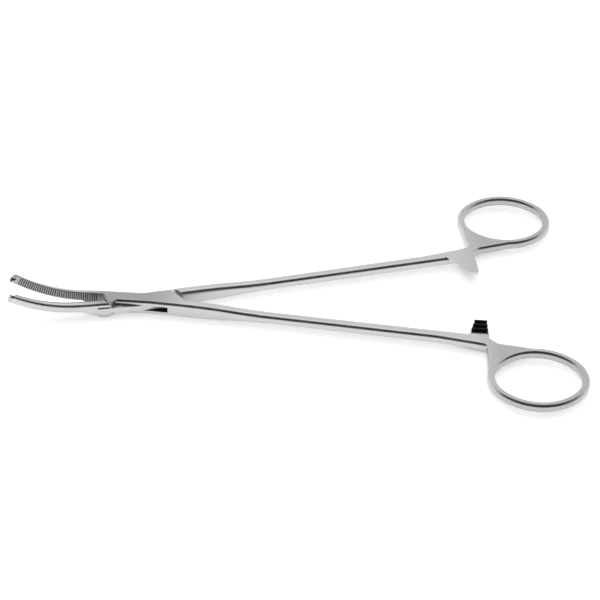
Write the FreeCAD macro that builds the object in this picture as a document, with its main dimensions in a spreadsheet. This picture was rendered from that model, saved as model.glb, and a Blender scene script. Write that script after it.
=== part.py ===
import FreeCAD, Part
import math
import os
import Sketcher

# Curved hemostatic forceps with a box lock, 200 mm pattern, in millimetres.
# Three forgings make the instrument: the box half, the neck half that passes through its slot,
# and the pivot pin that is ground flush with the box.
# Frame: +X runs from the pivot to the finger rings, +Z is up, the origin is on the pivot axis
# at the underside of the box. The box half lies straight in this frame. The neck half is
# drawn closed and then turned open by the rest angle.

doc = FreeCAD.newDocument("hemostatic_forceps")
sheet = doc.addObject("Spreadsheet::Sheet", "Sizes")

SIZES = [
    # box lock
    ("box_thickness", 5.8, "height of the box over both cheeks"),
    ("slot_height", 2.2, "height of the slot between the cheeks"),
    ("neck_clearance", 0.04, "gap above and below the neck in the slot"),
    ("wall_clearance", 0.06, "gap between the neck half's shoulders and the box, closed"),
    ("pin_diameter", 3.2, "pivot pin"),
    ("bore_clearance", 0.03, "radial running gap of the neck on the pin"),
    ("shoulder_x", 9.2, "outer corner of the rear shoulder line"),
    ("shoulder_y", 4.3, "outer corner of the rear shoulder line, from the closing plane"),
    ("crotch_x", 13.5, "where the shoulder lines meet the closing plane, both ends"),
    ("cheek_x", 10.4, "outer corner of the front shoulder line"),
    ("cheek_y", 3.7, "outer corner of the front shoulder line, from the closing plane"),
    ("flank_far", 2.4, "half width of the box on the jaw's side"),
    ("flank_near", 2.8, "half width of the box on the shank's side"),
    ("waist_x", 2.3, "where the flank turns out to the rear shoulder"),
    ("flank_end_x", -9.4, "where the flank turns out to the front shoulder"),
    ("slot_wall_x", 8.4, "outer end of the slot's slanted end walls"),
    ("slot_wall_y", 3.4, "outer end of the slot's slanted end walls, from the closing plane"),
    # shank
    ("root_depth", 3.0, "how far the shank's root reaches into the box, from the crotch"),
    ("root_swell", 0.5, "how much further out the shank's root stands than the box's flank"),
    ("shank_swell", 0.3, "how much the shank widens outwards at its end"),
    ("handle_thickness", 3.5, "thickness of shank and web"),
    ("taper_start_x", 15.5, "where the box's thickness starts to run out"),
    ("taper_end_x", 46.0, "where the box's thickness has run out to the shank's"),
    ("shank_bend_x", 26.0, "end of the shank's stretch beside the box"),
    ("shank_end_x", 101.0, "end of the shank's straight stretch"),
    ("shank_end_in", 7.0, "inner edge of the shank at its end"),
    ("shank_width", 3.5, "width of the shank"),
    ("shank_rim", 1.25, "edge radius along the box, the shank, the web and the ring's outside"),
    # finger ring
    ("ring_x", 134.6, "centre of the finger ring"),
    ("ring_y", 27.15, "centre of the finger ring, from the closing plane"),
    ("ring_long", 31.5, "long axis of the ring's centre line"),
    ("ring_short", 25.3, "short axis of the ring's centre line"),
    ("ring_tilt", 5.0, "turn of the long axis towards the closing plane, in degrees"),
    ("ring_end_radius", 10.3, "bend of the ring's centre line at the ends of its long axis"),
    ("ring_section", 2.5, "width of the ring's rounded section, seen from above"),
    ("ring_flat", 0.1, "width that stays flat on top of the ring"),
    ("web_overlap", 0.3, "how far the web passes into the ring"),
    ("web_end_back", 1.1, "how far before the ring's middle the web runs out"),
    ("web_notch_y", 13.5, "corner between shank and ring"),
    ("notch_bend", 1.6, "rounding of the corner between shank and ring"),
    ("web_bend", 3.2, "rounding of the corner between ratchet arm and ring"),
    ("web_corner_x", 121.8, "corner between ratchet arm and ring"),
    ("web_corner_y", 11.8, "the same corner, from the closing plane"),
    # ratchet
    ("ratchet_x", 116.55, "middle of the ratchet arm's tip"),
    ("ratchet_tip_width", 4.1, "width of the arm at its tip"),
    ("ratchet_root_width", 6.4, "width of the arm at its root"),
    ("arm_inset", 0.6, "how far the web's edge lies inside the arm's root"),
    ("arm_spread", 1.1, "how much further the arm's root reaches towards the box lock"),
    ("arm_flare", 8.0, "bend of the shank's inner edge towards the web"),
    ("lower_reach", 2.3, "how far the box half's arm passes the closing plane"),
    ("upper_reach", 0.7, "how far the neck half's arm passes the closing plane"),
    ("arm_root_round", 2.6, "bend between the shank's inner edge and the arm"),
    ("arm_root_depth", 4.0, "how far the arm's root reaches into the shank and the web"),
    ("tooth_pitch", 2.2, "from one ratchet tooth to the next"),
    ("tooth_height", 1.4, "height of a ratchet tooth"),
    ("tooth_count", 3, "number of ratchet teeth"),
    ("arm_tip_bend", 1.0, "rounding of the arm's tip, seen from above"),
    ("arm_web", 0.9, "thickness of the lower arm below the tooth roots"),
    ("tooth_gap", 0.12, "gap between the two rows of tooth tips"),
    ("tooth_setback", 1.2, "first locking face, from the arm's tip"),
    ("ratchet_level", -0.41, "height of the tooth tips over the middle plane"),
    # jaws
    ("jaw_gap", 0.12, "gap between the two jaw faces when closed"),
    ("jaw_root_x", 15.8, "where the jaw starts, in front of the pivot"),
    ("jaw_arc_x", 21.5, "where the upward curve starts"),
    ("jaw_sweep", 32.6, "angle of the upward curve, in degrees"),
    ("jaw_curve", 42.0, "radius of the jaw's upper edge"),
    ("jaw_height", 3.5, "height of the jaw along its curve"),
    ("jaw_tip_width", 1.5, "width of the jaw at its tip"),
    ("jaw_top_rim", 1.1, "radius of the jaw's upper outer edge"),
    ("jaw_back_rim", 1.3, "radius of the jaw's lower outer edge"),
    ("groove_pitch", 0.75, "from one cross serration to the next"),
    ("groove_depth", 0.28, "depth of a serration"),
    ("groove_width", 0.46, "width of a serration at the face"),
    ("bite_length", 1.6, "length of the notches at the tip"),
    ("bite_tooth", 0.8, "how far a tip tooth stands over the face"),
    ("bite_tooth_length", 1.1, "length of a tip tooth along the jaw"),
    ("bite_width", 1.0, "width of the single tip tooth"),
    ("bite_clearance", 0.12, "gap beside and below a tip tooth in its notch"),
    ("bite_slope", 17.0, "slope of a tip tooth's sides, in degrees"),
    # cutters
    ("tool_clearance", 0.5, "how far a cutting shape passes the surface that it cuts"),
    # pose
    ("rest_angle", 12.0, "opening between the halves in the photographed pose, in degrees"),
]
for row, (name, value, note) in enumerate(SIZES, start=1):
    sheet.set(f"A{row}", note)
    sheet.set(f"B{row}", str(value))
    sheet.setAlias(f"B{row}", name)
doc.recompute()


def named(formula):
    """Writes a formula of size names as an expression on the sheet."""
    words = {name for name, _, _ in SIZES}
    out, word = "", ""
    for letter in formula + " ":
        if letter.isalnum() or letter == "_":
            word += letter
            continue
        out += f"Sizes.{word}" if word in words else word
        out += letter
        word = ""
    return out.strip()


def size(formula):
    """The number that a formula of size names comes to."""
    result = sheet.evalExpression(named(formula))
    return float(getattr(result, "Value", result))


def new_body(label):
    body = doc.addObject("PartDesign::Body", label)
    body.Label = label
    body.AllowCompound = True
    return body


def new_sketch(body, name, role, height=None):
    """A sketch on one of the body's own planes, raised along the plane's normal by a formula."""
    sketch = body.newObject("Sketcher::SketchObject", name)
    base = next(f for f in body.Origin.OriginFeatures if f.Role == role)
    sketch.AttachmentSupport = (base, [""])
    sketch.MapMode = "FlatFace"
    if height:
        sketch.setExpression(".AttachmentOffset.Base.z", named(height))
    return sketch


def fix_point(sketch, geometry, position, formulas):
    """Holds a sketch point at two formulas, measured from the sketch's origin."""
    for kind, formula in zip(("DistanceX", "DistanceY"), formulas):
        index = sketch.addConstraint(
            Sketcher.Constraint(kind, -1, 1, geometry, position, size(formula)))
        sketch.setExpression(f"Constraints[{index}]", named(formula))


def draw_outline(sketch, corners):
    """A closed outline of straight edges through corners given as pairs of formulas."""
    points = [FreeCAD.Vector(size(x), size(y), 0) for x, y in corners]
    count = len(points)
    for i in range(count):
        sketch.addGeometry(Part.LineSegment(points[i], points[(i + 1) % count]))
    for i in range(count):
        sketch.addConstraint(Sketcher.Constraint("Coincident", i, 2, (i + 1) % count, 1))
    for i, corner in enumerate(corners):
        fix_point(sketch, i, 1, corner)


def draw_circle(sketch, radius):
    """A circle round the sketch's origin."""
    normal = FreeCAD.Vector(0, 0, 1)
    circle = sketch.addGeometry(Part.Circle(FreeCAD.Vector(0, 0, 0), normal, size(radius)))
    sketch.addConstraint(Sketcher.Constraint("Coincident", circle, 3, -1, 1))
    number = sketch.addConstraint(Sketcher.Constraint("Radius", circle, size(radius)))
    sketch.setExpression(f"Constraints[{number}]", named(radius))


def draw_oval(sketch, sign, offset):
    """The ring's centre line moved outwards by offset: four tangent arcs, two short ones at
    the ends of the long axis and two flatter ones at the sides."""
    turn = f"(1 deg * {-sign} * ring_tilt)"
    across = f"(sqrt({RING_SIDE_SHIFT} ^ 2 + {RING_END_SHIFT} ^ 2))"
    out_x = f"({RING_END_SHIFT} + (ring_end_radius + {offset}) * {RING_END_SHIFT} / {across})"
    out_y = f"((ring_end_radius + {offset}) * {RING_SIDE_SHIFT} / {across})"
    corners = []
    for x, y in ((1, -1), (1, 1), (-1, 1), (-1, -1)):
        corners.append((
            f"ring_x + {x} * {out_x} * cos({turn}) - {y} * {out_y} * sin({turn})",
            f"{sign} * ring_y + {x} * {out_x} * sin({turn}) + {y} * {out_y} * cos({turn})"))
    points = [FreeCAD.Vector(size(x), size(y), 0) for x, y in corners]
    radii = [f"ring_end_radius + {offset}", f"{RING_SIDE_RADIUS} + {offset}"] * 2
    for i, radius in enumerate(radii):
        start, end, bend = points[i], points[(i + 1) % 4], size(radius)
        chord = end - start
        half = chord.Length / 2
        inward = FreeCAD.Vector(-chord.y, chord.x, 0).normalize()
        centre = start + chord * 0.5 + inward * math.sqrt(bend * bend - half * half)
        angles = [math.atan2(point.y - centre.y, point.x - centre.x) for point in (start, end)]
        circle = Part.Circle(centre, FreeCAD.Vector(0, 0, 1), bend)
        sketch.addGeometry(Part.ArcOfCircle(circle, angles[0], angles[1]))
    for i, radius in enumerate(radii):
        sketch.addConstraint(Sketcher.Constraint("Coincident", i, 2, (i + 1) % 4, 1))
        fix_point(sketch, i, 1, corners[i])
        number = sketch.addConstraint(Sketcher.Constraint("Radius", i, size(radius)))
        sketch.setExpression(f"Constraints[{number}]", named(radius))


def pad(body, name, sketch, length, symmetric=True, reverse=False, taper=0):
    feature = body.newObject("PartDesign::Pad", name)
    feature.Profile = sketch
    feature.SideType = "Symmetric" if symmetric else "One side"
    feature.Reversed = reverse
    feature.TaperAngle = taper
    feature.setExpression("Length", named(length))
    doc.recompute()
    return feature


def pocket(body, name, sketch, length, symmetric=True, reverse=False):
    before = body.Shape.Volume
    feature = body.newObject("PartDesign::Pocket", name)
    feature.Profile = sketch
    feature.SideType = "Symmetric" if symmetric else "One side"
    feature.Reversed = reverse
    feature.setExpression("Length", named(length))
    doc.recompute()
    if body.Shape.Volume > before - 1e-4:
        raise RuntimeError(f"{name} cuts nothing")
    return feature


def fillet(body, name, radius, choose):
    """Rounds every edge of the body's present shape that choose() accepts by its points."""
    base = body.Tip
    names = []
    for number, edge in enumerate(base.Shape.Edges, start=1):
        first, last = edge.ParameterRange
        points = [edge.valueAt(first + (last - first) * t) for t in (0.0, 0.5, 1.0)]
        if choose(points):
            names.append(f"Edge{number}")
    if not names:
        raise RuntimeError(f"{name} finds no edge")
    feature = body.newObject("PartDesign::Fillet", name)
    feature.Base = (base, names)
    feature.setExpression("Radius", named(radius))
    doc.recompute()
    return feature


def upright_at(corners, sign):
    """Accepts the upright edges that stand on the given corners."""
    places = [(size(x), sign * size(y)) for x, y in corners]

    def choose(points):
        low, middle, high = points
        if math.hypot(low.x - high.x, low.y - high.y) > 0.001:
            return False
        return any(math.hypot(middle.x - x, middle.y - y) < 0.01 for x, y in places)
    return choose


# Plan corners shared by both halves. Each y is measured outwards from the closing plane to
# the side that the half's shank lies on, so the two halves are drawn as mirror images.
SLOPE = "(shank_end_in / (shank_end_x - crotch_x))"
BEND_IN = f"({SLOPE} * (shank_bend_x - crotch_x))"
TAPER_IN = f"({SLOPE} * (taper_end_x - crotch_x))"
ARM_IN = f"(shank_end_in + {SLOPE} * (ratchet_x - ratchet_root_width / 2 - shank_end_x))"
RING_LEFT = "(ring_x - ring_long / 2)"
RING_END_SHIFT = "(ring_long / 2 - ring_end_radius)"
RING_SIDE_RADIUS = (f"(({RING_END_SHIFT} ^ 2 + ring_short ^ 2 / 4 - ring_end_radius ^ 2)"
                    " / (ring_short - 2 * ring_end_radius))")
RING_SIDE_SHIFT = f"({RING_SIDE_RADIUS} - ring_short / 2)"
ROOT_X = "(crotch_x - root_depth)"
FRONT_SHANK = [
    (ROOT_X, f"{SLOPE} * (-root_depth)"),
    ("taper_end_x", TAPER_IN),
    ("taper_end_x", f"{TAPER_IN} + shank_width"),
    ("shank_bend_x", f"{BEND_IN} + shank_width"),
    (ROOT_X, "flank_near + root_swell"),
]
NOTCH = (f"{RING_LEFT} - ring_section / 2 + web_overlap", "web_notch_y")
WEB_CORNER = ("web_corner_x", "web_corner_y")
SHANK_FLARE = ("shank_end_x", "shank_end_in + shank_width + shank_swell")
FLARE = ("ratchet_x - ratchet_root_width / 2", ARM_IN)
ARM_RIGHT = ("ratchet_x + ratchet_root_width / 2 - arm_inset", "shank_end_in + 3 * shank_width / 4")
HANDLE = [
    ("taper_end_x", TAPER_IN),
    FLARE,
    ARM_RIGHT,
    WEB_CORNER,
    ("ring_x - web_end_back", "ring_y - ring_short / 2 - ring_section / 2 + ring_flat"),
    ("ring_x - web_end_back", "ring_y - ring_short / 2"),
    (RING_LEFT, "ring_y"),
    (f"{RING_LEFT} - ring_section / 2 + web_overlap", "ring_y - web_end_back"),
    NOTCH,
    SHANK_FLARE,
    ("taper_end_x", f"{TAPER_IN} + shank_width"),
]


def sided(corners, sign):
    return [(x, f"{sign} * ({y})") for x, y in corners]


def handle(body, sign):
    """Shank, web and oval finger ring in one plate, with rounded corners and rims."""
    sketch = new_sketch(body, "handle_plan", "XY_Plane")
    draw_outline(sketch, sided(HANDLE, sign))
    pad(body, "handle_plate", sketch, "handle_thickness")
    oval = new_sketch(body, "ring_plan", "XY_Plane")
    draw_oval(oval, sign, "ring_section / 2")
    pad(body, "ring_plate", oval, "handle_thickness")
    hole = new_sketch(body, "ring_hole_plan", "XY_Plane")
    draw_oval(hole, sign, "-ring_section / 2")
    pocket(body, "ring_hole", hole, "2 * handle_thickness")
    fillet(body, "notch_round", "notch_bend", upright_at([NOTCH], sign))
    fillet(body, "web_round", "web_bend", upright_at([WEB_CORNER], sign))
    fillet(body, "flare_round", "arm_flare", upright_at([FLARE], sign))

    def level_edge(points):
        """Lies along the top or the bottom face."""
        start, middle, end = points
        if abs(middle.z) < size("handle_thickness") / 2 - 0.01 or abs(start.z - end.z) > 2:
            return False
        return abs(start.x - end.x) + abs(start.y - end.y) > 0.01

    def in_hole(points):
        return all(abs(sign * point.y - size("ring_y")) < size("ring_short / 2")
                   and abs(point.x - size("ring_x")) < size("ring_long / 2") for point in points)

    def outside(points):
        middle = points[1]
        flank = sign * middle.y > size("flank_near") - 0.1 and middle.x > size("flank_end_x")
        return level_edge(points) and not in_hole(points) and (
            middle.x > size("taper_start_x") or flank)

    fillet(body, "hole_rim_round", "ring_section / 2 - ring_flat",
           lambda points: level_edge(points) and in_hole(points))
    fillet(body, "rim_round", "shank_rim", outside)


def thin_shank(body):
    """Thins the shank above and below from the box's thickness to its own, along two equal arcs
    that run level at both ends and meet halfway."""
    start, end = size("taper_start_x"), size("taper_end_x")
    thin, thick = "handle_thickness / 2", "box_thickness / 2"
    rise = "((box_thickness - handle_thickness) / 2)"
    run = "(taper_end_x - taper_start_x)"
    bend = f"(({run} ^ 2 + {rise} ^ 2) / (4 * {rise}))"
    halfway = ("(taper_start_x + taper_end_x) / 2", "(box_thickness + handle_thickness) / 4")
    for word, side in (("upper", 1), ("lower", -1)):
        corners = [
            ("taper_start_x", f"{side} * {thick}"),
            (halfway[0], f"{side} * {halfway[1]}"),
            ("taper_end_x", f"{side} * {thin}"),
            ("taper_end_x", f"{side} * ({thick} + 1)"),
            ("taper_start_x", f"{side} * ({thick} + 1)"),
        ]
        points = [FreeCAD.Vector(size(x), size(z), 0) for x, z in corners]
        centres = [FreeCAD.Vector(start, side * size(f"{thick} - {bend}"), 0),
                   FreeCAD.Vector(end, side * size(f"{thin} + {bend}"), 0)]
        sketch = new_sketch(body, f"{word}_taper_plan", "XZ_Plane")
        starts = []
        for i, centre in enumerate(centres):
            angles = [math.atan2(point.y - centre.y, point.x - centre.x)
                      for point in points[i:i + 2]]
            circle = Part.Circle(centre, FreeCAD.Vector(0, 0, 1), size(bend))
            sketch.addGeometry(Part.ArcOfCircle(circle, min(angles), max(angles)))
            starts.append(1 if angles[0] < angles[1] else 2)
        for i in (2, 3, 4):
            sketch.addGeometry(Part.LineSegment(points[i], points[(i + 1) % 5]))
        starts += [1, 1, 1]
        for i in range(5):
            following = (i + 1) % 5
            sketch.addConstraint(Sketcher.Constraint(
                "Coincident", i, 3 - starts[i], following, starts[following]))
            fix_point(sketch, i, starts[i], corners[i])
        for i in (0, 1):
            number = sketch.addConstraint(Sketcher.Constraint("Radius", i, size(bend)))
            sketch.setExpression(f"Constraints[{number}]", named(bend))
        pocket(body, f"{word}_taper", sketch, "2 * ring_y")


def plate(body, sign, name, corners, thickness="box_thickness"):
    """A plate of the given thickness, centred on the middle plane."""
    plan = new_sketch(body, f"{name}_plan", "XY_Plane")
    draw_outline(plan, sided(corners, sign))
    pad(body, name, plan, thickness)


def ratchet_arm(body, sign, reach, level, thickness, down):
    """The arm that reaches past the closing plane, with its sloped tip and its row of teeth.
    level is the height of the tooth tips and down is 1 where the arm lies below them."""
    corners = arm_corners(reach)
    plan = new_sketch(body, "ratchet_arm_plan", "XY_Plane", level)
    draw_outline(plan, sided(corners, sign))
    pad(body, "ratchet_arm", plan, thickness, symmetric=False, reverse=down > 0)
    fillet(body, "arm_tip_round", "arm_tip_bend", upright_at(corners[3:5], sign))
    fillet(body, "arm_root_bend", "arm_root_round", upright_at(corners[2:3], sign))
    first = f"(tooth_setback - {reach})"
    root, clear = f"{level} - {down} * tooth_height", f"{level} + {down} * tool_clearance"
    past_tip = f"{sign} * (-{reach} - tool_clearance)"
    slope = new_sketch(body, "arm_tip_slope", "YZ_Plane", "ratchet_x")
    draw_outline(slope, [
        (f"{sign} * {first}", level),
        (past_tip, root),
        (past_tip, clear),
        (f"{sign} * {first}", clear),
    ])
    pocket(body, "arm_tip_ramp", slope, "2 * ratchet_root_width")
    gash = new_sketch(body, "tooth_gash_plan", "YZ_Plane", "ratchet_x")
    draw_outline(gash, [
        (f"{sign} * {first}", root),
        (f"{sign} * ({first} + tooth_pitch)", level),
        (f"{sign} * ({first} + tooth_pitch)", clear),
        (f"{sign} * {first}", clear),
    ])
    cut = pocket(body, "tooth_gash", gash, "2 * ratchet_root_width")
    row = body.newObject("PartDesign::LinearPattern", "tooth_row")
    row.Originals = [cut]
    axis = next(f for f in body.Origin.OriginFeatures if f.Role == "Y_Axis")
    row.Direction = (axis, [""])
    row.Reversed = sign < 0
    row.Mode = "Spacing"
    row.setExpression("Offset", named("tooth_pitch"))
    row.setExpression("Occurrences", named("tooth_count"))
    body.Tip = row
    doc.recompute()


def jaw(body, sign):
    """The tapered, upward curved jaw with its cross serrations."""
    side = new_sketch(body, "jaw_side", "XZ_Plane", f"{sign} * jaw_gap / 2")
    top, low = size("box_thickness / 2"), size("box_thickness / 2 - jaw_height")
    arc_x, radius = -size("jaw_arc_x"), size("jaw_curve")
    root = FreeCAD.Vector(-size("jaw_root_x"), top, 0)
    upper, lower = FreeCAD.Vector(arc_x, top, 0), FreeCAD.Vector(arc_x, low, 0)
    tip_upper = FreeCAD.Vector(*[size(formula) for formula in JAW_TIP_UPPER], 0)
    tip_lower = FreeCAD.Vector(*[size(formula) for formula in JAW_TIP_LOWER], 0)
    heel = FreeCAD.Vector(root.x, -top, 0)
    middle = FreeCAD.Vector(arc_x, top + radius, 0)
    start_angle = -math.pi / 2 - math.radians(size("jaw_sweep"))

    def arc(bend):
        circle = Part.Circle(middle, FreeCAD.Vector(0, 0, 1), bend)
        return Part.ArcOfCircle(circle, start_angle, -math.pi / 2)

    side.addGeometry(Part.LineSegment(root, upper))
    side.addGeometry(arc(radius))
    side.addGeometry(Part.LineSegment(tip_upper, tip_lower))
    side.addGeometry(arc(radius + top - low))
    side.addGeometry(Part.LineSegment(lower, heel))
    side.addGeometry(Part.LineSegment(heel, root))
    for first, first_end, second, second_end in (
            (0, 2, 1, 2), (1, 1, 2, 1), (2, 2, 3, 1), (3, 2, 4, 1), (4, 2, 5, 1), (5, 2, 0, 1)):
        side.addConstraint(
            Sketcher.Constraint("Coincident", first, first_end, second, second_end))
    for geometry, position, corner in (
            (0, 1, ("-jaw_root_x", "box_thickness / 2")),
            (0, 2, ("-jaw_arc_x", "box_thickness / 2")),
            (2, 1, JAW_TIP_UPPER),
            (2, 2, JAW_TIP_LOWER),
            (4, 1, ("-jaw_arc_x", "box_thickness / 2 - jaw_height")),
            (4, 2, ("-jaw_root_x", "-box_thickness / 2"))):
        fix_point(side, geometry, position, corner)
    for geometry in (1, 3):
        number = side.addConstraint(
            Sketcher.Constraint("DistanceX", -1, 1, geometry, 3, -size("jaw_arc_x")))
        side.setExpression(f"Constraints[{number}]", named("-jaw_arc_x"))
    pad(body, "jaw_blank", side, "flank_far - jaw_gap / 2", symmetric=False, reverse=sign < 0)
    plan = new_sketch(body, "jaw_taper_plan", "XY_Plane")
    draw_outline(plan, sided([
        ("-jaw_root_x", "-flank_far"),
        (f"{JAW_TIP_LOWER[0]} - 1", "-jaw_tip_width - jaw_gap / 2"),
        (f"{JAW_TIP_LOWER[0]} - 1", "-flank_far - 1"),
        ("-jaw_root_x", "-flank_far - 1"),
    ], sign))
    pocket(body, "jaw_taper", plan, "2 * jaw_curve")

    def outer(points):
        middle = points[1]
        far = sign * middle.y < size("-jaw_tip_width - jaw_gap / 2 + 0.05")
        return far and middle.x < size("-jaw_root_x - 1") and abs(points[0].x - points[2].x) > 1
    def on_top(points):
        return outer(points) and points[1].z > size("box_thickness / 2 - 0.01") + drop(points[1].x)
    def on_back(points):
        return outer(points) and not on_top(points)
    def drop(x):
        reach = max(0, -size("jaw_arc_x") - x)
        return radius - math.sqrt(radius * radius - reach * reach)
    fillet(body, "jaw_top_round", "jaw_top_rim", on_top)
    fillet(body, "jaw_back_round", "jaw_back_rim", on_back)


def serrations(body, sign):
    """Cross grooves along the jaw's face: a straight row, then a row that follows the curve."""
    face = "-jaw_gap / 2"
    for word, start in (("straight", "-jaw_arc_x + groove_pitch"), ("curved", "-jaw_arc_x")):
        plan = new_sketch(body, f"{word}_groove_plan", "XY_Plane")
        draw_outline(plan, sided([
            (f"{start} - groove_width", f"{face} + groove_depth"),
            (f"{start} + groove_width", f"{face} + groove_depth"),
            (start, f"{face} - groove_depth"),
        ], sign))
        groove = pocket(body, f"{word}_groove", plan, "2 * box_thickness")
        if word == "straight":
            row = body.newObject("PartDesign::LinearPattern", "straight_serrations")
            row.Direction = (next(f for f in body.Origin.OriginFeatures if f.Role == "X_Axis"), [""])
            row.Mode = "Spacing"
            row.setExpression("Offset", named("groove_pitch"))
            count = "floor((jaw_arc_x - jaw_root_x) / groove_pitch)"
        else:
            centre = new_sketch(body, "jaw_curve_centre", "XZ_Plane")
            centre.setExpression(".AttachmentOffset.Base.x", named("-jaw_arc_x"))
            centre.setExpression(".AttachmentOffset.Base.y", named(ARC_TOP))
            row = body.newObject("PartDesign::PolarPattern", "curved_serrations")
            row.Axis = (centre, ["N_Axis"])
            row.Reversed = True
            row.Mode = "Spacing"
            row.setExpression("Offset", named(GROOVE_ANGLE))
            count = f"floor((jaw_sweep - {BITE_ANGLE}) / ({GROOVE_ANGLE}))"
        row.Originals = [groove]
        row.setExpression("Occurrences", named(count))
        body.Tip = row
        doc.recompute()


def tip_plan(body, sign, name, upper, lower, length):
    """A four-sided plan on the jaw's face at its tip, between two depths below the curve's
    upper edge, that reaches back from the tip by a length."""
    plan = new_sketch(body, name, "XZ_Plane", f"{sign} * jaw_gap / 2")
    plan.setExpression(".AttachmentOffset.Base.x", named("-jaw_arc_x"))
    plan.setExpression(".AttachmentOffset.Base.y", named(ARC_TOP))
    plan.setExpression(".AttachmentOffset.Rotation.Angle", named("-jaw_sweep"))
    start = "0" if length == "bite_tooth_length" else "-1"
    draw_outline(plan, [
        (start, f"-jaw_curve - {upper}"),
        (start, f"-jaw_curve - {lower}"),
        (length, f"-jaw_curve - {lower}"),
        (length, f"-jaw_curve - {upper}"),
    ])
    return plan


def tip_bite(body, sign, teeth, notches):
    """Cuts the notches for the other jaw's teeth, then adds this jaw's own teeth."""
    for number, (upper, lower) in enumerate(notches):
        plan = tip_plan(body, sign, f"bite_notch_plan_{number}", upper, lower, "bite_length")
        pocket(body, f"bite_notch_{number}", plan, "bite_tooth - jaw_gap + bite_clearance",
               symmetric=False, reverse=sign > 0)
    for number, (upper, lower) in enumerate(teeth):
        plan = tip_plan(body, sign, f"bite_tooth_plan_{number}", upper, lower, "bite_tooth_length")
        tooth = pad(body, f"bite_tooth_{number}", plan, "bite_tooth", symmetric=False,
                    reverse=sign > 0)
        tooth.setExpression("TaperAngle", named("-bite_slope"))
        doc.recompute()


# Shoulder clearance measured along the pivot line.
SHOULDER_RUN = "sqrt((crotch_x - shoulder_x) ^ 2 + shoulder_y ^ 2)"
REAR_STEP = f"(wall_clearance * {SHOULDER_RUN} / shoulder_y)"
CHEEK_RUN = "sqrt((crotch_x - cheek_x) ^ 2 + cheek_y ^ 2)"
FRONT_STEP = f"(wall_clearance * {CHEEK_RUN} / cheek_y)"
SLOT_RUN = "sqrt((crotch_x - slot_wall_x) ^ 2 + slot_wall_y ^ 2)"
SLOT_STEP = f"(wall_clearance * {SLOT_RUN} / slot_wall_y)"
SLOT_SLOPE = "((crotch_x - slot_wall_x) / slot_wall_y)"



def arm_corners(reach):
    """The ratchet arm seen from above, from its root in the shank to its tip and back."""
    left, right = "ratchet_x - ratchet_root_width / 2", "ratchet_x + ratchet_root_width / 2"
    return [
        (f"{left} - arm_root_depth / 2", "shank_end_in + arm_root_depth"),
        (f"{left} - 5 * arm_root_depth / 4", "shank_end_in + shank_width / 2"),
        (f"{left} - arm_spread", "shank_end_in - arm_inset"),
        ("ratchet_x - ratchet_tip_width / 2", f"-{reach}"),
        ("ratchet_x + ratchet_tip_width / 2", f"-{reach}"),
        (f"{right} - arm_inset", "shank_end_in + 3 * arm_root_depth / 2"),
    ]


LOWER_CREST = "(ratchet_level - tooth_gap / 2)"
UPPER_CREST = "(ratchet_level + tooth_gap / 2)"

ARC_TOP = "(box_thickness / 2 + jaw_curve)"
JAW_TIP_UPPER = ("-jaw_arc_x - jaw_curve * sin(1 deg * jaw_sweep)",
                 f"{ARC_TOP} - jaw_curve * cos(1 deg * jaw_sweep)")
JAW_TIP_LOWER = ("-jaw_arc_x - (jaw_curve + jaw_height) * sin(1 deg * jaw_sweep)",
                 f"{ARC_TOP} - (jaw_curve + jaw_height) * cos(1 deg * jaw_sweep)")
CENTRE_TOOTH = ("(jaw_height - bite_width) / 2", "(jaw_height + bite_width) / 2")
CENTRE_NOTCH = (f"({CENTRE_TOOTH[0]} - bite_clearance)", f"({CENTRE_TOOTH[1]} + bite_clearance)")
EDGE_TEETH = (("0.05", f"({CENTRE_NOTCH[0]} - bite_clearance)"),
              (f"({CENTRE_NOTCH[1]} + bite_clearance)", "(jaw_height - 0.05)"))
EDGE_NOTCHES = (("-1", CENTRE_NOTCH[0]), (CENTRE_NOTCH[1], "(jaw_height + 1)"))
GROOVE_ANGLE = "groove_pitch / (jaw_curve + jaw_height / 2) * 180 / pi"
BITE_ANGLE = "bite_length / jaw_curve * 180 / pi"

box_half = new_body("box_half")
front = new_sketch(box_half, "shank_root_plan", "XY_Plane")
draw_outline(front, sided(FRONT_SHANK, -1))
pad(box_half, "shank_root", front, "box_thickness")
plate(box_half, -1, "box_blank", [
    ("-jaw_root_x", "-flank_far"),
    ("waist_x", "-flank_far"),
    ("shoulder_x", "-shoulder_y"),
    ("crotch_x", "0"),
    ("crotch_x", "1"),
    (ROOT_X, "flank_near + root_swell"),
    ("waist_x", "flank_near"),
    ("flank_end_x", "flank_near"),
    ("-cheek_x", "cheek_y"),
    ("-crotch_x", "0"),
    ("-crotch_x", "-jaw_gap / 2"),
    ("-jaw_root_x", "-jaw_gap / 2"),
])
thin_shank(box_half)
handle(box_half, -1)
jaw(box_half, -1)
slot = new_sketch(box_half, "slot_plan", "XY_Plane")
draw_outline(slot, sided([
    ("slot_wall_x", "2 * shoulder_y"),
    ("slot_wall_x", "slot_wall_y"),
    ("crotch_x", "0"),
    ("crotch_x", "-2 * shoulder_y"),
    ("-slot_wall_x", "-2 * shoulder_y"),
    ("-slot_wall_x", "-slot_wall_y"),
    ("-crotch_x", "0"),
    ("-crotch_x", "2 * shoulder_y"),
], -1))
pocket(box_half, "slot", slot, "slot_height")
hole = new_sketch(box_half, "pin_hole_plan", "XY_Plane")
draw_circle(hole, "pin_diameter / 2")
pocket(box_half, "pin_hole", hole, "2 * box_thickness")
serrations(box_half, -1)
tip_bite(box_half, -1, EDGE_TEETH, [CENTRE_NOTCH])
ratchet_arm(box_half, -1, "lower_reach", LOWER_CREST, "tooth_height + arm_web", 1)

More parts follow.
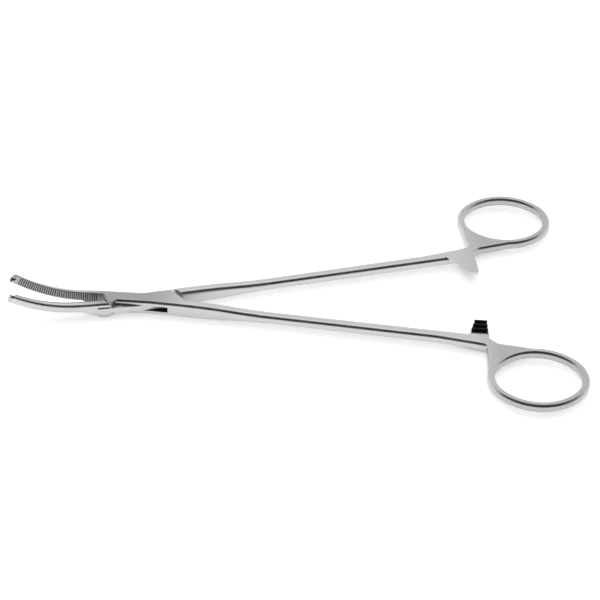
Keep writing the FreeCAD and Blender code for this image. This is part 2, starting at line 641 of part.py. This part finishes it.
neck_half = new_body("neck_half")
front = new_sketch(neck_half, "shank_root_plan", "XY_Plane")
draw_outline(front, sided(FRONT_SHANK, 1))
pad(neck_half, "shank_root", front, "box_thickness")
thin_shank(neck_half)
handle(neck_half, 1)
shoulder = new_sketch(neck_half, "shoulder_cut_plan", "XY_Plane")
draw_outline(shoulder, sided([
    (f"crotch_x + {REAR_STEP} - 2 * (crotch_x - shoulder_x)", "2 * shoulder_y"),
    (f"crotch_x + {REAR_STEP} + (crotch_x - shoulder_x)", "-shoulder_y"),
    ("0", "-shoulder_y"),
    ("0", "2 * shoulder_y"),
], 1))
pocket(neck_half, "shoulder_cut", shoulder, "2 * box_thickness")
plate(neck_half, 1, "neck", [
    (f"crotch_x - {SLOT_STEP}", "0"),
    (f"crotch_x - {SLOT_STEP} - {SLOT_SLOPE} * flank_near", "-flank_near"),
    (f"-crotch_x + {SLOT_STEP} + {SLOT_SLOPE} * (-flank_near)", "-flank_near"),
    (f"-crotch_x + {SLOT_STEP}", "0"),
    (f"-crotch_x + {SLOT_STEP} + {SLOT_SLOPE} * flank_far", "flank_far"),
    ("crotch_x", "flank_far"),
], "slot_height - 2 * neck_clearance")
plate(neck_half, 1, "jaw_root", [
    (f"-crotch_x - {FRONT_STEP}", "-jaw_gap / 2"),
    ("-jaw_root_x", "-jaw_gap / 2"),
    ("-jaw_root_x", "-flank_far"),
    (f"-crotch_x - {FRONT_STEP} + (crotch_x - cheek_x) * flank_far / cheek_y", "-flank_far"),
])
jaw(neck_half, 1)
bore = new_sketch(neck_half, "bore_plan", "XY_Plane")
draw_circle(bore, "pin_diameter / 2 + bore_clearance")
pocket(neck_half, "bore", bore, "2 * box_thickness")
serrations(neck_half, 1)
tip_bite(neck_half, 1, [CENTRE_TOOTH], EDGE_NOTCHES)
ratchet_arm(neck_half, 1, "upper_reach", UPPER_CREST, f"handle_thickness / 2 - {UPPER_CREST}", -1)

pivot_pin = new_body("pivot_pin")
pin_plan = new_sketch(pivot_pin, "pin_plan", "XY_Plane")
draw_circle(pin_plan, "pin_diameter / 2")
pad(pivot_pin, "pin", pin_plan, "box_thickness")

for body in (box_half, neck_half, pivot_pin):
    body.setExpression(".Placement.Base.z", named("box_thickness / 2"))
neck_half.setExpression(".Placement.Rotation.Angle", named("rest_angle"))
doc.recompute()

for feature in doc.Objects:
    if "Invalid" in feature.State or "Error" in feature.State:
        raise RuntimeError(f"{feature.Label} failed")
os.makedirs("parts", exist_ok=True)
for body in (box_half, neck_half, pivot_pin):
    shape = body.Shape
    if shape.isNull() or not shape.isValid() or len(shape.Solids) != 1:
        raise RuntimeError(f"{body.Label} is not one sound solid")
    shape.exportStep(f"parts/{body.Label}.step")
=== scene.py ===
import math

import bpy
from mathutils import Matrix, Vector

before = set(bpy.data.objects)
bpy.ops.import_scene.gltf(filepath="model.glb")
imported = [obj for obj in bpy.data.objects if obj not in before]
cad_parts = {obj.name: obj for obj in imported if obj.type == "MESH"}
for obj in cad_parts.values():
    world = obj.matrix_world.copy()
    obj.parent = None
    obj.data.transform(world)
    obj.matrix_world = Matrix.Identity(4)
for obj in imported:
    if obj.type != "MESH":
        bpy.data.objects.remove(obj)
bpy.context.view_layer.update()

MM = 0.001

# Camera, in degrees and millimetres. The line of sight passes the pivot at PIVOT_OFFSET,
# measured to the right and upwards in the picture.
VIEW_AZIMUTH = math.radians(1.9)
VIEW_HEIGHT = math.radians(42.0)
VIEW_ROLL = math.radians(1.87)
VIEW_DISTANCE = 560.0
PIVOT_HEIGHT = 2.9
PIVOT_OFFSET = (53.96, 2.66)
LENS = 97.4


def add_camera():
    """Looks down at the instrument from its near side, turned slightly about its own axis."""
    sin_a, cos_a = math.sin(VIEW_AZIMUTH), math.cos(VIEW_AZIMUTH)
    sin_e, cos_e = math.sin(VIEW_HEIGHT), math.cos(VIEW_HEIGHT)
    right = Vector((cos_a, sin_a, 0))
    up = Vector((-sin_a * sin_e, cos_a * sin_e, cos_e))
    ahead = Vector((-sin_a * cos_e, cos_a * cos_e, -sin_e))
    aim = Vector((0, 0, PIVOT_HEIGHT)) + right * PIVOT_OFFSET[0] + up * PIVOT_OFFSET[1]
    place = (aim - ahead * VIEW_DISTANCE) * MM
    right, up = (right * math.cos(VIEW_ROLL) + up * math.sin(VIEW_ROLL),
                 up * math.cos(VIEW_ROLL) - right * math.sin(VIEW_ROLL))
    data = bpy.data.cameras.new("camera")
    data.lens = LENS
    data.sensor_width = 36.0
    data.clip_start = 0.01
    camera = bpy.data.objects.new("camera", data)
    turn = Matrix((right, up, -ahead)).transposed().to_4x4()
    camera.matrix_world = Matrix.Translation(place) @ turn
    bpy.context.scene.collection.objects.link(camera)
    bpy.context.scene.camera = camera
    return camera


# Brightness of the room by height above the horizon: (sine of the height, brightness).
ROOM = ((0.0, 1.25), (0.2, 1.15), (0.42, 1.0), (0.67, 0.82), (0.8, 0.86), (0.93, 1.35), (1.0, 1.5))
# The dark side of the room, where the photographer stands: middle height, half width and
# softness of its border, how far it is drawn out sideways, and what is left of the light there.
DARK_HEIGHT = math.radians(30)
DARK_REACH = math.radians(58)
DARK_BORDER = math.radians(10)
DARK_SPREAD = 0.55
DARK_REST = 0.04


class Nodes:
    """Short words for building a node tree."""

    def __init__(self, tree):
        self.tree = tree
        tree.nodes.clear()

    def add(self, kind, inputs=(), **settings):
        node = self.tree.nodes.new(kind)
        for name, value in settings.items():
            setattr(node, name, value)
        for socket, value in dict(inputs).items():
            if isinstance(value, bpy.types.NodeSocket):
                self.tree.links.new(value, node.inputs[socket])
            else:
                node.inputs[socket].default_value = value
        return node

    def math(self, operation, first, second=0.0):
        return self.add("ShaderNodeMath", {0: first, 1: second}, operation=operation).outputs[0]

    def blend(self, first, second, share):
        """Mixes two colours, whose sockets share their names with others and go by number."""
        return self.add("ShaderNodeMix", {"Factor": share, 6: first, 7: second},
                        data_type="RGBA").outputs[2]

    def ramp(self, value, low, high, start=0.0, end=1.0):
        """A soft step from start, at low, to end, at high."""
        node = self.add("ShaderNodeMapRange", {
            "Value": value, "From Min": low, "From Max": high, "To Min": start, "To Max": end},
            interpolation_type="SMOOTHSTEP")
        return node.outputs[0]


def light_room(camera):
    """A pale tent, bright low down and overhead, with a dark side behind the camera."""
    world = bpy.data.worlds.new("studio")
    world.use_nodes = True
    nodes = Nodes(world.node_tree)
    direction = nodes.add("ShaderNodeTexCoord").outputs["Generated"]
    height = nodes.add("ShaderNodeSeparateXYZ", {0: direction}).outputs["Z"]
    steps = nodes.add("ShaderNodeValToRGB", {0: height})
    top = max(value for _, value in ROOM)
    stops = steps.color_ramp.elements
    while len(stops) < len(ROOM):
        stops.new(0.5)
    for stop, (place, value) in zip(stops, ROOM):
        stop.position = place
        stop.color = (value / top, value / top, value / top, 1)
    toward = camera.matrix_world.translation.copy()
    toward.z = 0
    toward = toward.normalized() * math.cos(DARK_HEIGHT) + Vector((0, 0, math.sin(DARK_HEIGHT)))
    squeezed = nodes.add("ShaderNodeVectorMath", {0: direction, 1: (DARK_SPREAD, 1, 1)},
                         operation="MULTIPLY").outputs[0]
    squeezed = nodes.add("ShaderNodeVectorMath", {0: squeezed}, operation="NORMALIZE").outputs[0]
    facing = nodes.add("ShaderNodeVectorMath", {0: squeezed, 1: toward}, operation="DOT_PRODUCT")
    shade = nodes.ramp(facing.outputs["Value"], math.cos(DARK_REACH + DARK_BORDER),
                       math.cos(DARK_REACH), 1.0, DARK_REST)
    value = nodes.math("MULTIPLY", steps.outputs["Color"], shade)
    light = nodes.add("ShaderNodeBackground", {"Color": value, "Strength": top})
    nodes.add("ShaderNodeOutputWorld", {0: light.outputs[0]})
    bpy.context.scene.world = world


# Soft lamps over the table: power in watts, place and width in metres. Both face AIM.
LAMPS = {
    "back_lamp": (2.0, (0.05, 0.55, 1.3), 1.3),
    "front_lamp": (8.6, (0.02, -0.7, 1.2), 1.4),
}
AIM = Vector((0.05, 0, 0))


def add_lamps():
    """They light the floor and aren't mirrored in the steel."""
    for name, (power, place, width) in LAMPS.items():
        data = bpy.data.lights.new(name, "AREA")
        data.energy = power
        data.size = width
        lamp = bpy.data.objects.new(name, data)
        lamp.location = place
        down = AIM - Vector(place)
        lamp.rotation_euler = down.to_track_quat("-Z", "Y").to_euler()
        lamp.visible_glossy = False
        bpy.context.scene.collection.objects.link(lamp)


# Half width of the floor in metres, its tone, and the light that comes through the paper from
# the table below it.
FLOOR_REACH = 3.0
PAPER_TONE = 0.93
TABLE_GLOW = 0.36


def lay_floor():
    """White paper on a lit table."""
    mesh = bpy.data.meshes.new("floor")
    corners = [(x * FLOOR_REACH, y * FLOOR_REACH, 0) for x, y in ((-1, -1), (1, -1), (1, 1), (-1, 1))]
    mesh.from_pydata(corners, [], [(0, 1, 2, 3)])
    floor = bpy.data.objects.new("floor", mesh)
    bpy.context.scene.collection.objects.link(floor)
    paper = bpy.data.materials.new("white_paper")
    paper.use_nodes = True
    nodes = Nodes(paper.node_tree)
    shine = nodes.add("ShaderNodeBsdfDiffuse", {"Color": (PAPER_TONE, PAPER_TONE, PAPER_TONE, 1)})
    glow = nodes.add("ShaderNodeEmission", {"Strength": TABLE_GLOW})
    both = nodes.add("ShaderNodeAddShader", {0: shine.outputs[0], 1: glow.outputs[0]})
    nodes.add("ShaderNodeOutputMaterial", {0: both.outputs[0]})
    mesh.materials.append(paper)


# Steel. All tones are fitted to the photograph and are no measured finish.
STEEL_TONES = (0.60, 0.66)
STEEL_ROUGHNESS = (0.26, 0.33)
CLOUD_RANGE = (0.3, 0.7)
GRAIN_ROUGHNESS = 0.06
# Noise per millimetre: the grain is drawn out along the half, clouds and grit are even.
GRAIN = (0.25, 5.0, 5.0)
CLOUDS = 0.12
GRIT = 9.0
GRIT_HEIGHT = 0.5
BUMP_STRENGTH = 0.12
BUMP_DEPTH = 0.03 * MM
# The flat faces of the box lock and the handles are painted darker than the shanks, the same on both
# halves: where that begins and ends along the half, and in height, in millimetres.
BOX_TONE = 0.42
BOX_LENGTH = ((-22.0, -12.0), (1.0, 17.0))
BOX_FACES = ((0.1, 0.5), (5.3, 5.7))
HANDLE_TONE = 0.50
HANDLE_START = (112.0, 125.0)
# Places painted with shade, a dark tone, and given a rougher, duller finish: the slot inside, the
# ratchet gullets and the jaw grooves, where shade falls, and the jaw faces, painted darker to dim
# their reflection of the floor. Each is the low and high corner of a box in the closed half's own
# millimetres, softness of its border, and how much of the painted shade it takes.
SHADE_PAINT_TONE = 0.10
CUT_ROUGHNESS = 0.15
RATCHET_GULLETS = ((113.0, -5.9, 0.5), (120.5, 1.2, 2.75), 0.12, 1.0)
BOX_SLOT = ((-1.0, -4.0, 1.75), (8.55, 4.0, 4.05), 0.02, 0.95)
BOX_JAW_GROOVES = ((-47.0, 0.1, 0.0), (-14.0, 0.48, 14.0), 0.04, 0.9)
BOX_JAW_FACE = ((-44.5, -1.0, 0.0), (-13.6, 0.48, 14.0), 0.04, 0.35)
NECK_JAW_GROOVES = ((-47.0, -0.48, 0.0), (-14.0, -0.1, 14.0), 0.04, 0.9)
NECK_JAW_FACE = ((-44.5, -0.48, 0.0), (-13.6, 1.0, 14.0), 0.04, 0.35)
# Angle of the neck half in the photographed pose.
NECK_TURN = math.radians(12.0)


def steel_grey(tone):
    return (tone, tone, tone + 0.005, 1)


def inside_box(nodes, axes, low, high, soft, share):
    """share inside a box and nothing outside it, with a soft border."""
    inside = share
    for axis, near, far in zip(axes, low, high):
        step = nodes.math("MULTIPLY", nodes.ramp(axis, near - soft, near + soft),
                          nodes.ramp(axis, far - soft, far + soft, 1.0, 0.0))
        inside = nodes.math("MULTIPLY", step, inside)
    return inside


def satin_steel(name, turn=0.0, shaded_dull_places=()):
    """Brushed steel: a fine grain along the half, faint cloudy changes of sheen, box faces and handle
    painted darker, and painted shade with a rougher finish in the recesses and on the jaw faces.
    turn is the half's angle in the photographed pose."""
    material = bpy.data.materials.new(name)
    material.use_nodes = True
    nodes = Nodes(material.node_tree)
    place = nodes.add("ShaderNodeTexCoord").outputs["Object"]
    own = nodes.add("ShaderNodeVectorRotate", {"Vector": place, "Angle": -turn},
                    rotation_type="Z_AXIS").outputs[0]
    scaled = nodes.add("ShaderNodeVectorMath", {0: own, 1: (1 / MM, 1 / MM, 1 / MM)},
                       operation="MULTIPLY").outputs[0]
    along = nodes.add("ShaderNodeVectorMath", {0: scaled, 1: GRAIN},
                      operation="MULTIPLY").outputs[0]
    grain = nodes.add("ShaderNodeTexNoise", {"Vector": along, "Scale": 1.0, "Detail": 3.0}).outputs[0]
    clouds = nodes.add("ShaderNodeTexNoise",
                       {"Vector": scaled, "Scale": CLOUDS, "Detail": 4.0}).outputs[0]
    grit = nodes.add("ShaderNodeTexNoise", {"Vector": scaled, "Scale": GRIT, "Detail": 2.0}).outputs[0]
    axes = nodes.add("ShaderNodeSeparateXYZ", {0: scaled}).outputs
    length, _, level = axes

    box = nodes.math("MULTIPLY", nodes.ramp(length, *BOX_LENGTH[0]),
                     nodes.ramp(length, *BOX_LENGTH[1], 1.0, 0.0))
    faces = nodes.math("ADD", nodes.ramp(level, *BOX_FACES[0], 1.0, 0.0),
                       nodes.ramp(level, *BOX_FACES[1]))
    dark, light = STEEL_TONES
    colour = nodes.blend(steel_grey(dark), steel_grey(light), clouds)
    # The box lock's flat faces and the handles are painted darker than the shanks.
    colour = nodes.blend(colour, steel_grey(BOX_TONE), nodes.math("MULTIPLY", box, faces))
    colour = nodes.blend(colour, steel_grey(HANDLE_TONE), nodes.ramp(length, *HANDLE_START))
    rough = nodes.ramp(clouds, *CLOUD_RANGE, *STEEL_ROUGHNESS)
    rough = nodes.math("ADD", rough, nodes.math("MULTIPLY", grain, GRAIN_ROUGHNESS))
    # Painted shade: the dark tone in the recesses and on the jaw faces, which also get rougher.
    shade_and_dullness = 0.0
    for shape in shaded_dull_places:
        shade_and_dullness = nodes.math("MAXIMUM", inside_box(nodes, axes, *shape), shade_and_dullness)
    if shaded_dull_places:
        colour = nodes.blend(colour, steel_grey(SHADE_PAINT_TONE), shade_and_dullness)
        rough = nodes.math("ADD", rough, nodes.math("MULTIPLY", shade_and_dullness, CUT_ROUGHNESS))
    height = nodes.math("ADD", grain, nodes.math("MULTIPLY", grit, GRIT_HEIGHT))
    bump = nodes.add("ShaderNodeBump", {
        "Height": height, "Strength": BUMP_STRENGTH, "Distance": BUMP_DEPTH})
    shader = nodes.add("ShaderNodeBsdfPrincipled", {
        "Base Color": colour, "Metallic": 1.0, "Roughness": rough, "Normal": bump.outputs[0]})
    nodes.add("ShaderNodeOutputMaterial", {0: shader.outputs[0]})
    return material


light_room(add_camera())
add_lamps()
lay_floor()
finishes = {
    "box_half": satin_steel("box_steel", shaded_dull_places=(
        RATCHET_GULLETS, BOX_SLOT, BOX_JAW_GROOVES, BOX_JAW_FACE)),
    "neck_half": satin_steel("neck_steel", NECK_TURN, (NECK_JAW_GROOVES, NECK_JAW_FACE)),
    "pivot_pin": satin_steel("pin_steel"),
}
for name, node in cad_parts.items():
    for slot in node.material_slots:
        slot.material = finishes[name]
bpy.context.scene.view_settings.view_transform = "Standard"
